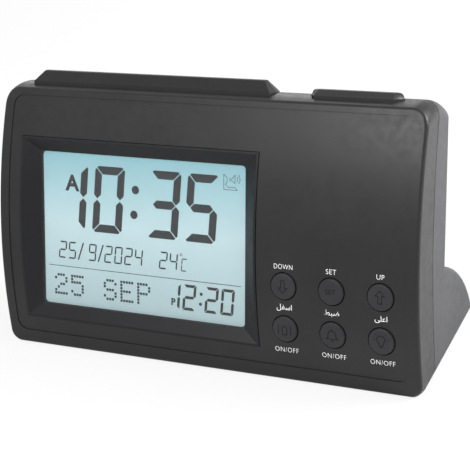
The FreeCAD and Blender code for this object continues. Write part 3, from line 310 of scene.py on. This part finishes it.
def ink(name, colour, roughness=0.5):
    """Printed or etched marks with a trace of unevenness."""
    made = Finish(name)
    made.vary("Base Color", 0.6 * MM, lighter(colour, 0.92), lighter(colour, 1.04))
    made.vary("Roughness", 1.0 * MM, roughness - ROUGHNESS_SPREAD, roughness + ROUGHNESS_SPREAD)
    made.bump(made.noise(0.1 * MM), 0.002 * MM, 0.4)
    made.set(Specular_IOR_Level=DULL)
    return made.material


def wrapped_cell(name):
    """Plain wrapped dry cells: blue sleeves, each with a copper band at its terminal end."""
    made = Finish(name)
    low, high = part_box("batteries")
    half = (high.x - low.x) / 2
    turn = made.nodes.new("ShaderNodeMath")
    turn.operation = "WRAP"
    turn.inputs[1].default_value = low.x + half
    turn.inputs[2].default_value = low.x
    made.links.new(made.coordinate("X"), turn.inputs[0])
    along = made.share(turn.outputs["Value"], low.x, low.x + half)
    made.feed(made.ramp(along, SLEEVE_BLUE, SLEEVE_COPPER, BAND_START, BAND_END), "Base Color")
    made.vary("Roughness", 2 * MM, 0.25, 0.35)
    made.bump(made.noise(0.8 * MM), 0.005 * MM, 0.3)
    made.set(Metallic=0.3)
    return made.material


FINISHES = (
    (moulded("front_plastic", CHARCOAL, 0.36, specular=0.25), ["front_housing"]),
    (moulded("rear_plastic", CHARCOAL_REAR, 0.46), ["rear_housing", "battery_door", "speaker_ring"]),
    (moulded("bezel_plastic", BEZEL_BLACK, 0.4), ["display_bezel"]),
    (moulded("bar_plastic", BAR_CHARCOAL, 0.4, specular=0.25), ["snooze_bar", "light_button"]),
    (moulded("key_plastic", KEY_BLACK, 0.5), KEYS),
    (
        moulded("black_rubber", RUBBER_BLACK, 0.8, 0.5 * MM, 0.03 * MM),
        ["foot_pads", "lcd_connectors", "key_mat"],
    ),
    (moulded("white_plastic", OFF_WHITE, 0.5), ["lcd_carrier", "backlight_leds"]),
    (moulded("guide_plastic", GUIDE_BLUE, 0.3), ["light_guide"]),
    (moulded("chip_plastic", CHIP_BLACK, 0.55, 0.1 * MM), ["board_chips", "top_switches"]),
    (moulded("cone_paper", CONE_BLACK, 0.85, 0.6 * MM, 0.05 * MM), ["speaker_cone"]),
    (moulded("ferrite", FERRITE_GREY, 0.6, 0.4 * MM, 0.03 * MM), ["speaker_magnet"]),
    (
        metal("steel", STEEL_GREY, 0.32),
        ["board_screws", "key_board_screws", "housing_screws", "speaker_screws", "speaker_basket"],
    ),
    (metal("nickel", NICKEL_GREY, 0.25), ["battery_contacts", "battery_spring"]),
    (circuit("board_mask"), ["main_board", "key_board", "top_board"]),
    (liquid_crystal("display_glass"), ["lcd_panel"]),
    (clear_window("window_clear"), ["display_lens"]),
    (wrapped_cell("cell_sleeve"), ["batteries"]),
)
for finish, nodes in FINISHES:
    for node in nodes:
        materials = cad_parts[node].data.materials
        materials.clear()
        materials.append(finish)

segment_ink = ink("segment_ink", LCD_DARK)
faint_segment_ink = ink("faint_segment_ink", LCD_FAINT)
label_ink = ink("label_ink", WHITE_INK)
mask_ink = ink("mask_ink", WINDOW_BORDER)
# Moulded key signs: a matte etched finish, with painted shade of their grooves as the darker colour
etched_groove_shade = ink("etched_groove_shade", KEY_GROOVE_SHADE, 0.7)

# Layers of thin marks: the surface each lies on, its lift and thickness, its body and its slot

Layer = namedtuple("Layer", "surface lift thickness body slot")
MARK_THICKNESS = 0.02 * MM
DISPLAY = Layer(glass_surface, 0.015 * MM, MARK_THICKNESS, "case", "lcd_glass")
BORDER = DISPLAY._replace(lift=0.07 * MM)
PRINT = Layer(panel_surface, 0.005 * MM, MARK_THICKNESS, "case", "front_plastic")


def etching(key):
    return Layer(key_surface, 0.004 * MM, MARK_THICKNESS, key, "key_plastic")


def add_piece(name, mesh, material, layer):
    piece = bpy.data.objects.new(name, mesh)
    bpy.context.scene.collection.objects.link(piece)
    mesh.materials.clear()
    mesh.materials.append(material)
    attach(piece, layer.body)


SHARPEST_MITRE = 0.3
DISC_SIDES = 24
CORNER_STEPS = 6


class Marks:
    """A mesh of flat marks on a layer, each a closed solid, drawn in millimetres from a middle."""

    def __init__(self, layer, middle):
        self.mesh = bmesh.new()
        self.layer = layer
        self.middle = middle

    def vertex(self, x, y, raised):
        across = self.middle[0] + x * MM
        height = self.middle[1] + y * MM
        lift = self.layer.lift + raised * self.layer.thickness
        return self.mesh.verts.new(in_slab(across, self.layer.surface(height) - lift, height))

    def polygon(self, outline):
        """One flat mark; the outline runs anticlockwise as the viewer sees it."""
        low, high = [[self.vertex(*place, raised) for place in outline] for raised in (0, 1)]
        self.mesh.faces.new(high)
        self.mesh.faces.new(low[::-1])
        for index in range(len(outline)):
            after = (index + 1) % len(outline)
            self.mesh.faces.new((low[index], low[after], high[after], high[index]))

    def strip(self, rights, lefts, closed):
        """A band between two lines of points; closed joins its end to its start."""
        rings = [
            [self.vertex(*right, 0), self.vertex(*right, 1), self.vertex(*left, 1), self.vertex(*left, 0)]
            for right, left in zip(rights, lefts)
        ]
        pairs = list(zip(rings, rings[1:]))
        if closed:
            pairs.append((rings[-1], rings[0]))
        else:
            self.mesh.faces.new(rings[0][::-1])
            self.mesh.faces.new(rings[-1])
        for ring, after in pairs:
            for index in range(4):
                other = (index + 1) % 4
                self.mesh.faces.new((ring[index], after[index], after[other], ring[other]))

    def line(self, points, width, closed=False):
        """A stroke of even width along points, mitred at its corners."""
        last = len(points) - 1
        rights, lefts = [], []
        for index, (x, y) in enumerate(points):
            before = points[index - 1] if index or closed else None
            after = points[(index + 1) % len(points)] if index < last or closed else None
            ways = []
            for start, end in ((before, (x, y)), ((x, y), after)):
                if start is not None and end is not None:
                    ways.append(Vector((end[0] - start[0], end[1] - start[1])).normalized())
            way = sum(ways, Vector((0, 0))).normalized()
            reach = width / 2 / max(way.dot(ways[0]), SHARPEST_MITRE)
            rights.append((x + way.y * reach, y - way.x * reach))
            lefts.append((x - way.y * reach, y + way.x * reach))
        self.strip(rights, lefts, closed)

    def draw(self, loops, lines, width):
        """Closed outlines and open lines, all with one stroke width."""
        for points in loops:
            self.line(points, width, closed=True)
        for points in lines:
            self.line(points, width)

    def disc(self, x, y, radius):
        self.polygon(arc(x, y, radius, 0, 360, DISC_SIDES)[:-1])

    def finish(self, name, material):
        bmesh.ops.recalc_face_normals(self.mesh, faces=self.mesh.faces)
        data = bpy.data.meshes.new(name)
        self.mesh.to_mesh(data)
        self.mesh.free()
        add_piece(name, data, material, self.layer)


def arc(x, y, radius, start, end, steps=12):
    """Points along an arc between two angles in degrees."""
    turns = [math.radians(start + (end - start) * step / steps) for step in range(steps + 1)]
    return [(x + radius * math.cos(turn), y + radius * math.sin(turn)) for turn in turns]


def rounded_rectangle(half_width, half_height, radius):
    points = []
    for turn, (side, end) in enumerate(((1, 1), (-1, 1), (-1, -1), (1, -1))):
        x, y = side * (half_width - radius), end * (half_height - radius)
        points += arc(x, y, radius, turn * 90, turn * 90 + 90, CORNER_STEPS)
    return points


def shrunk(outline, gap):
    """A convex anticlockwise outline moved in by a gap on every side."""
    count = len(outline)
    lines = []
    for index in range(count):
        start = Vector(outline[index])
        way = (Vector(outline[(index + 1) % count]) - start).normalized()
        lines.append((start + Vector((-way.y, way.x)) * gap, way))
    corners = []
    for index in range(count):
        (start, way), (other, cross) = lines[index - 1], lines[index]
        along = (other - start).cross(cross) / way.cross(cross)
        corners.append(tuple(start + way * along))
    return corners


# Seven-segment digits

LIT = {
    "0": "abcdef", "1": "bc", "2": "abged", "3": "abgcd", "4": "fgbc", "5": "afgcd", "9": "abcdfg",
    "C": "adef",
}


def segment_outlines(width, height, stroke, chamfer):
    """The segments a to g of a digit with mitred ends, from its lower left corner."""
    middle = height / 2
    inner = width - stroke
    cut = chamfer / 2
    top = [
        (stroke, height - stroke), (inner, height - stroke), (width - cut, height - cut),
        (width - chamfer, height), (chamfer, height), (cut, height - cut),
    ]
    upper_right = [
        (inner, middle + stroke / 2), (width - stroke / 2, middle), (width, middle + stroke / 2),
        (width, height - chamfer), (width - cut, height - cut), (inner, height - stroke),
    ]
    bar = [
        (stroke / 2, middle), (stroke, middle - stroke / 2), (inner, middle - stroke / 2),
        (width - stroke / 2, middle), (inner, middle + stroke / 2), (stroke, middle + stroke / 2),
    ]
    upper_left = [(width - x, y) for x, y in upper_right[::-1]]
    return {
        "a": top,
        "b": upper_right,
        "c": [(x, height - y) for x, y in upper_right[::-1]],
        "d": [(x, height - y) for x, y in top[::-1]],
        "e": [(x, height - y) for x, y in upper_left[::-1]],
        "f": upper_left,
        "g": bar,
    }


def show_digits(marks, characters, lefts, foot, width, height, stroke, chamfer, gap, slant):
    """Slanted digits of one size, each with its left edge given at half its height."""
    outlines = segment_outlines(width, height, stroke, chamfer)
    for character, left in zip(characters, lefts):
        for segment in LIT[character]:
            outline = shrunk(outlines[segment], gap / 2)
            marks.polygon([(left + x + (y - height / 2) * slant, foot + y) for x, y in outline])


def show_colon(marks, middle, heights, radius):
    """Two dots that lean with the digits about a middle."""
    for height in heights:
        marks.disc(middle[0] + (height - middle[1]) * TIME_SLANT, height, radius)


# Display contents, in millimetres from the middle of the display

TIME_SLANT = 0.08
TIME_SIZES = {"width": 11.8, "height": 22.4, "stroke": 3.0, "chamfer": 1.3, "gap": 0.3, "slant": TIME_SLANT}
SECOND_SIZES = {"width": 4.9, "height": 8.7, "stroke": 1.1, "chamfer": 0.5, "gap": 0.16, "slant": TIME_SLANT}
DATE_SIZES = {"width": 3.1, "height": 5.9, "stroke": 0.62, "chamfer": 0.35, "gap": 0.12, "slant": 0.1}
DEGREE_SIZES = {"width": 2.3, "height": 4.4, "stroke": 0.5, "chamfer": 0.25, "gap": 0.1, "slant": 0.1}
TIME_FOOT = -0.2
SECOND_FOOT = -22.8
DATE_FOOT = -10.1
DATE_LEFTS = (-32.6, -28.8, -20.8, -14.5, -10.6, -6.7, -2.8, 6.6, 10.4)
DATE_STROKES = ((-24.9, -22.8), (-17.0, -15.0))
STROKE_WIDTH = 0.5
RULE_HALF = 36.7
RULE_HEIGHT = -12.8
THIN_LINE = 0.2
DEGREE_LEFT = 14.8

time_marks = Marks(DISPLAY, DISPLAY_MIDDLE)
show_digits(time_marks, "1035", (-32.9, -18.6, 2.6, 16.5), TIME_FOOT, **TIME_SIZES)
show_colon(time_marks, (-2.6, 11), (15.1, 6.9), 1.4)
time_marks.finish("time_segments", segment_ink)

date_marks = Marks(DISPLAY, DISPLAY_MIDDLE)
show_digits(date_marks, "259202424", DATE_LEFTS, DATE_FOOT, **DATE_SIZES)
for foot, head in DATE_STROKES:
    date_marks.line([(foot, DATE_FOOT), (head, DATE_FOOT + DATE_SIZES["height"])], STROKE_WIDTH)
date_marks.line([(-RULE_HALF, RULE_HEIGHT), (RULE_HALF, RULE_HEIGHT)], THIN_LINE)
date_marks.finish("date_segments", segment_ink)

degree_marks = Marks(DISPLAY, DISPLAY_MIDDLE)
show_digits(degree_marks, "C", [DEGREE_LEFT], DATE_FOOT, **DEGREE_SIZES)
degree_marks.line(arc(DEGREE_LEFT, -4.6, 0.38, 0, 360)[:-1], THIN_LINE, closed=True)
degree_marks.finish("degree_segments", faint_segment_ink)

DOT_PITCH = 1.05
DOT_SIZE = 0.82
DOT_TOP = -15.5
DOT_LEFT = -34.5
LETTER_PITCH = 6.52
DOT_LETTERS = {
    "2": ("01110", "10001", "00001", "00110", "01000", "10000", "11111"),
    "5": ("11111", "10000", "11110", "00001", "00001", "10001", "01110"),
    "S": ("01110", "10001", "10000", "01110", "00001", "10001", "01110"),
    "E": ("11111", "10000", "10000", "11110", "10000", "10000", "11111"),
    "P": ("11110", "10001", "10001", "11110", "10000", "10000", "10000"),
}
day_marks = Marks(DISPLAY, DISPLAY_MIDDLE)
for place, character in enumerate("25 SEP"):
    for row, dots in enumerate(DOT_LETTERS.get(character, ())):
        for column, lit in enumerate(dots):
            if lit == "1":
                left = DOT_LEFT + place * LETTER_PITCH + column * DOT_PITCH
                top = DOT_TOP - row * DOT_PITCH
                right, foot = left + DOT_SIZE, top - DOT_SIZE
                day_marks.polygon([(left, foot), (right, foot), (right, top), (left, top)])
day_marks.finish("day_dots", segment_ink)

second_marks = Marks(DISPLAY, DISPLAY_MIDDLE)
show_digits(second_marks, "1220", (9.6, 15.4, 23.6, 29.4), SECOND_FOOT, **SECOND_SIZES)
show_colon(second_marks, (22.1, -18.4), (-16.8, -20.1), 0.55)
second_marks.finish("second_time_segments", segment_ink)

# A small sound sign in the display's upper right corner

SPEAKER_SHAPE = [(32.6, 21.3), (33.3, 21.3), (34.4, 22.6), (34.4, 19.9), (33.3, 20.7), (32.6, 20.7)]
HEAD_SHAPE = [
    (30.4, 22.6), (31.6, 21.6), (31.6, 20.2), (31.0, 19.4), (31.9, 18.6), (34.6, 18.6), (35.2, 17.8),
    (30.4, 17.8),
]
SOUND_WAVES = [arc(34.4, 21.3, radius, -50, 50) for radius in (1.0, 1.8)]
sign_marks = Marks(DISPLAY, DISPLAY_MIDDLE)
sign_marks.draw([HEAD_SHAPE, SPEAKER_SHAPE], SOUND_WAVES, THIN_LINE)
sign_marks.finish("sound_sign", faint_segment_ink)

# Printed border behind the window, with rounded corners

BORDER_OUTER = (40.4, 28.0)
BORDER_INNER = (38.25, 25.75)
BORDER_RADIUS = 1.4
border_marks = Marks(BORDER, DISPLAY_MIDDLE)
outer, inner = [rounded_rectangle(*size, BORDER_RADIUS) for size in (BORDER_OUTER, BORDER_INNER)]
border_marks.strip(outer, inner, closed=True)
border_marks.finish("window_border", mask_ink)

# Letters in the built-in face

CAP_SHARE = 0.7


def span_middle(values):
    return (min(values) + max(values)) / 2


def lettering(layer, name, words, cap, at, material, stretch=1.0, weight=0.0, spacing=1.0):
    """Words centred at a place (across, height) of the slab, with capitals cap high."""
    curve = bpy.data.curves.new(name, "FONT")
    curve.body = words
    curve.size = cap / CAP_SHARE
    curve.align_x = "CENTER"
    curve.align_y = "CENTER"
    curve.offset = weight * curve.size
    curve.space_character = spacing
    curve.extrude = layer.thickness / 2
    curve.resolution_u = 3
    maker = bpy.data.objects.new(name, curve)
    bpy.context.scene.collection.objects.link(maker)
    bpy.context.view_layer.update()
    solid = maker.evaluated_get(bpy.context.evaluated_depsgraph_get())
    mesh = bpy.data.meshes.new_from_object(solid)
    bpy.data.objects.remove(maker)
    middle_x = span_middle([vertex.co.x for vertex in mesh.vertices])
    middle_y = span_middle([vertex.co.y for vertex in mesh.vertices])
    for vertex in mesh.vertices:
        across = at[0] + (vertex.co.x - middle_x) * stretch
        height = at[1] + vertex.co.y - middle_y
        depth = layer.surface(height) - layer.lift - layer.thickness / 2 - vertex.co.z
        vertex.co = in_slab(across, depth, height)
    add_piece(name, mesh, material, layer)


for words, cap, across, height in (("A", 5.1, -26.9, 15.7), ("P", 2.2, 11.9, -20.4)):
    place = (DISPLAY_MIDDLE[0] + across * MM, DISPLAY_MIDDLE[1] + height * MM)
    lettering(DISPLAY, f"display_letter_{words}", words, cap * MM, place, segment_ink, weight=0.035)

# Labels printed round the keys: over a set key its word, under it the same word in Arabic script

LABEL_CAP = 1.6 * MM
LABEL_RISE = 6.2 * MM
CAPTION_CAP = 1.7 * MM
CAPTION_DROP = 6.9 * MM
KEY_LABELS = {
    "down_key": ("DOWN", 0.84, "ﻞﻔﺳﺍ"),
    "set_key": ("SET", 0.98, "ﻂﺒﺿ"),
    "up_key": ("UP", 0.98, "ﻰﻠﻋﺍ"),
}
for key, (word, stretch, caption) in KEY_LABELS.items():
    across, height = slab_middle(key)
    label_place = (across, height + LABEL_RISE)
    caption_place = (across, height - CAPTION_DROP)
    lettering(PRINT, f"{key}_label", word, LABEL_CAP, label_place, label_ink, stretch, -0.006, 1.06)
    lettering(PRINT, f"{key}_caption", caption, CAPTION_CAP, caption_place, label_ink, weight=0.006)
for key in SWITCH_KEYS:
    across, height = slab_middle(key)
    label_place = (across, height - CAPTION_DROP)
    lettering(PRINT, f"{key}_label", "ON/OFF", LABEL_CAP, label_place, label_ink, 0.92, -0.01, 1.12)

# Signs moulded into the key caps, each as closed outlines and open lines in millimetres; they are drawn flat,
# and their darker colour is painted shade of the grooves

ETCH_WIDTH = 0.28
ARROW = [
    (0, -2.1), (1.5, -0.5), (0.6, -0.5), (0.6, 1.9), (-0.6, 1.9), (-0.6, -0.5), (-1.5, -0.5),
]
ARCH = [(-0.8, -1.8), (-0.8, 0.3), (0, 1.2), (0.8, 0.3), (0.8, -1.8)]
BELL = [
    (-1.9, -1.2), (-1.4, -0.7), (-1.2, 0.7), (-0.6, 1.5), (0.6, 1.5), (1.2, 0.7), (1.4, -0.7), (1.9, -1.2),
]
BULB = arc(0, 0.6, 1.3, -60, 240) + [(-0.6, -1.3), (0.6, -1.3)]
RAYS = [
    [(-1.9, 0.6), (-2.5, 0.6)], [(1.9, 0.6), (2.5, 0.6)],
    [(-1.35, 1.95), (-1.75, 2.35)], [(1.35, 1.95), (1.75, 2.35)],
]
KEY_SIGNS = {
    "down_key": ([ARROW], []),
    "up_key": ([[(-x, -y) for x, y in ARROW]], []),
    "azan_key": ([ARCH], [[(-2.1, -1.8), (-2.1, 1.4)], [(2.1, -1.8), (2.1, 1.4)]]),
    "alarm_key": ([BELL], [[(-0.5, -1.8), (0.5, -1.8)], [(0, 1.5), (0, 2.1)]]),
    "lamp_key": ([BULB], [[(-0.55, -1.85), (0.55, -1.85)], *RAYS]),
}
for key, (loops, lines) in KEY_SIGNS.items():
    marks = Marks(etching(key), slab_middle(key))
    marks.draw(loops, lines, ETCH_WIDTH)
    marks.finish(f"{key}_sign", etched_groove_shade)
lettering(etching("set_key"), "set_key_sign", "SET", LABEL_CAP, slab_middle("set_key"), etched_groove_shade)

# Floor

FLOOR_HALF = 3.0
FLOOR_GLOW = 0.8


def floor_material():
    """White floor; the camera sees it near white, with the object's soft shadow kept."""
    material = bpy.data.materials.new("floor_white")
    material.use_nodes = True
    nodes, links = material.node_tree.nodes, material.node_tree.links
    nodes.clear()
    output = nodes.new("ShaderNodeOutputMaterial")
    mix = nodes.new("ShaderNodeMixShader")
    plain = nodes.new("ShaderNodeBsdfDiffuse")
    plain.inputs["Color"].default_value = (*FLOOR_WHITE, 1)
    glow = nodes.new("ShaderNodeEmission")
    path = nodes.new("ShaderNodeLightPath")
    seen = nodes.new("ShaderNodeMath")
    seen.operation = "MULTIPLY"
    seen.inputs[1].default_value = FLOOR_GLOW
    links.new(path.outputs["Is Camera Ray"], seen.inputs[0])
    links.new(seen.outputs["Value"], mix.inputs["Fac"])
    links.new(plain.outputs["BSDF"], mix.inputs[1])
    links.new(glow.outputs["Emission"], mix.inputs[2])
    links.new(mix.outputs["Shader"], output.inputs["Surface"])
    return material


floor_data = bpy.data.meshes.new("floor")
floor_corners = [(x * FLOOR_HALF, y * FLOOR_HALF, 0) for x, y in ((-1, -1), (1, -1), (1, 1), (-1, 1))]
floor_data.from_pydata(floor_corners, [], [(0, 1, 2, 3)])
floor = bpy.data.objects.new("floor", floor_data)
bpy.context.scene.collection.objects.link(floor)
floor_data.materials.append(floor_material())

# World: white to the camera and in reflections, dim as a light

WORLD_LIGHT = 0.27
world = bpy.data.worlds.new("studio")
bpy.context.scene.world = world
world.use_nodes = True
tree = world.node_tree
background = tree.nodes["Background"]
background.inputs["Color"].default_value = (1, 1, 1, 1)
path = tree.nodes.new("ShaderNodeLightPath")
seen = path.outputs["Is Camera Ray"]
for ray in ("Is Transmission Ray", "Is Glossy Ray"):
    either = tree.nodes.new("ShaderNodeMath")
    either.operation = "MAXIMUM"
    tree.links.new(seen, either.inputs[0])
    tree.links.new(path.outputs[ray], either.inputs[1])
    seen = either.outputs["Value"]
strength = tree.nodes.new("ShaderNodeMapRange")
strength.inputs["To Min"].default_value = WORLD_LIGHT
strength.inputs["To Max"].default_value = 1.0
tree.links.new(seen, strength.inputs["Value"])
tree.links.new(strength.outputs["Result"], background.inputs["Strength"])

# Square softboxes, all turned to the middle of the clock: place, side and power

LIGHT_TARGET = Vector((0, 0, 0.04))
SOFTBOXES = {
    "overhead": ((0.3, 0.2, 0.85), 0.8, 2.4),
    "front_high": ((-0.09, -0.46, 0.56), 0.2, 3.1),
    "right_back": ((0.5, 0.27, 0.3), 0.3, 5.4),
    "left_back": ((-0.5, 0.9, 0.25), 0.4, 0.9),
}
for name, (place, side, power) in SOFTBOXES.items():
    light = bpy.data.lights.new(name, "AREA")
    light.shape = "SQUARE"
    light.size = side
    light.energy = power
    lamp = bpy.data.objects.new(name, light)
    lamp.location = place
    lamp.rotation_euler = (LIGHT_TARGET - Vector(place)).to_track_quat("-Z", "Y").to_euler()
    bpy.context.scene.collection.objects.link(lamp)

# Camera: turned right of the front, above, and rolled, with a long lens

VIEW_TURN = math.radians(33.394)
VIEW_HEIGHT = math.radians(31.870)
VIEW_ROLL = math.radians(-13.462)
VIEW_PLACE = ORIGIN + Vector((0.23884, -0.32591, 0.29699))
FOCAL_PIXELS = 1546
PHOTO_PIXELS = 470
SENSOR = 36

level = Vector((math.cos(VIEW_TURN), math.sin(VIEW_TURN), 0))
ahead = Vector((-math.sin(VIEW_TURN), math.cos(VIEW_TURN), 0))
behind = Vector((0, 0, math.sin(VIEW_HEIGHT))) - ahead * math.cos(VIEW_HEIGHT)
plumb = behind.cross(level)
right = level * math.cos(VIEW_ROLL) + plumb * math.sin(VIEW_ROLL)
upward = plumb * math.cos(VIEW_ROLL) - level * math.sin(VIEW_ROLL)
camera_data = bpy.data.cameras.new("camera")
camera_data.sensor_width = SENSOR
camera_data.lens = FOCAL_PIXELS / PHOTO_PIXELS * SENSOR
camera_data.clip_start = 20 * MM
camera = bpy.data.objects.new("camera", camera_data)
turned = Matrix((right, upward, behind)).transposed().to_4x4()
camera.matrix_world = Matrix.Translation(VIEW_PLACE) @ turned
bpy.context.scene.collection.objects.link(camera)
bpy.context.scene.camera = camera
bpy.context.scene.view_settings.view_transform = "Standard"
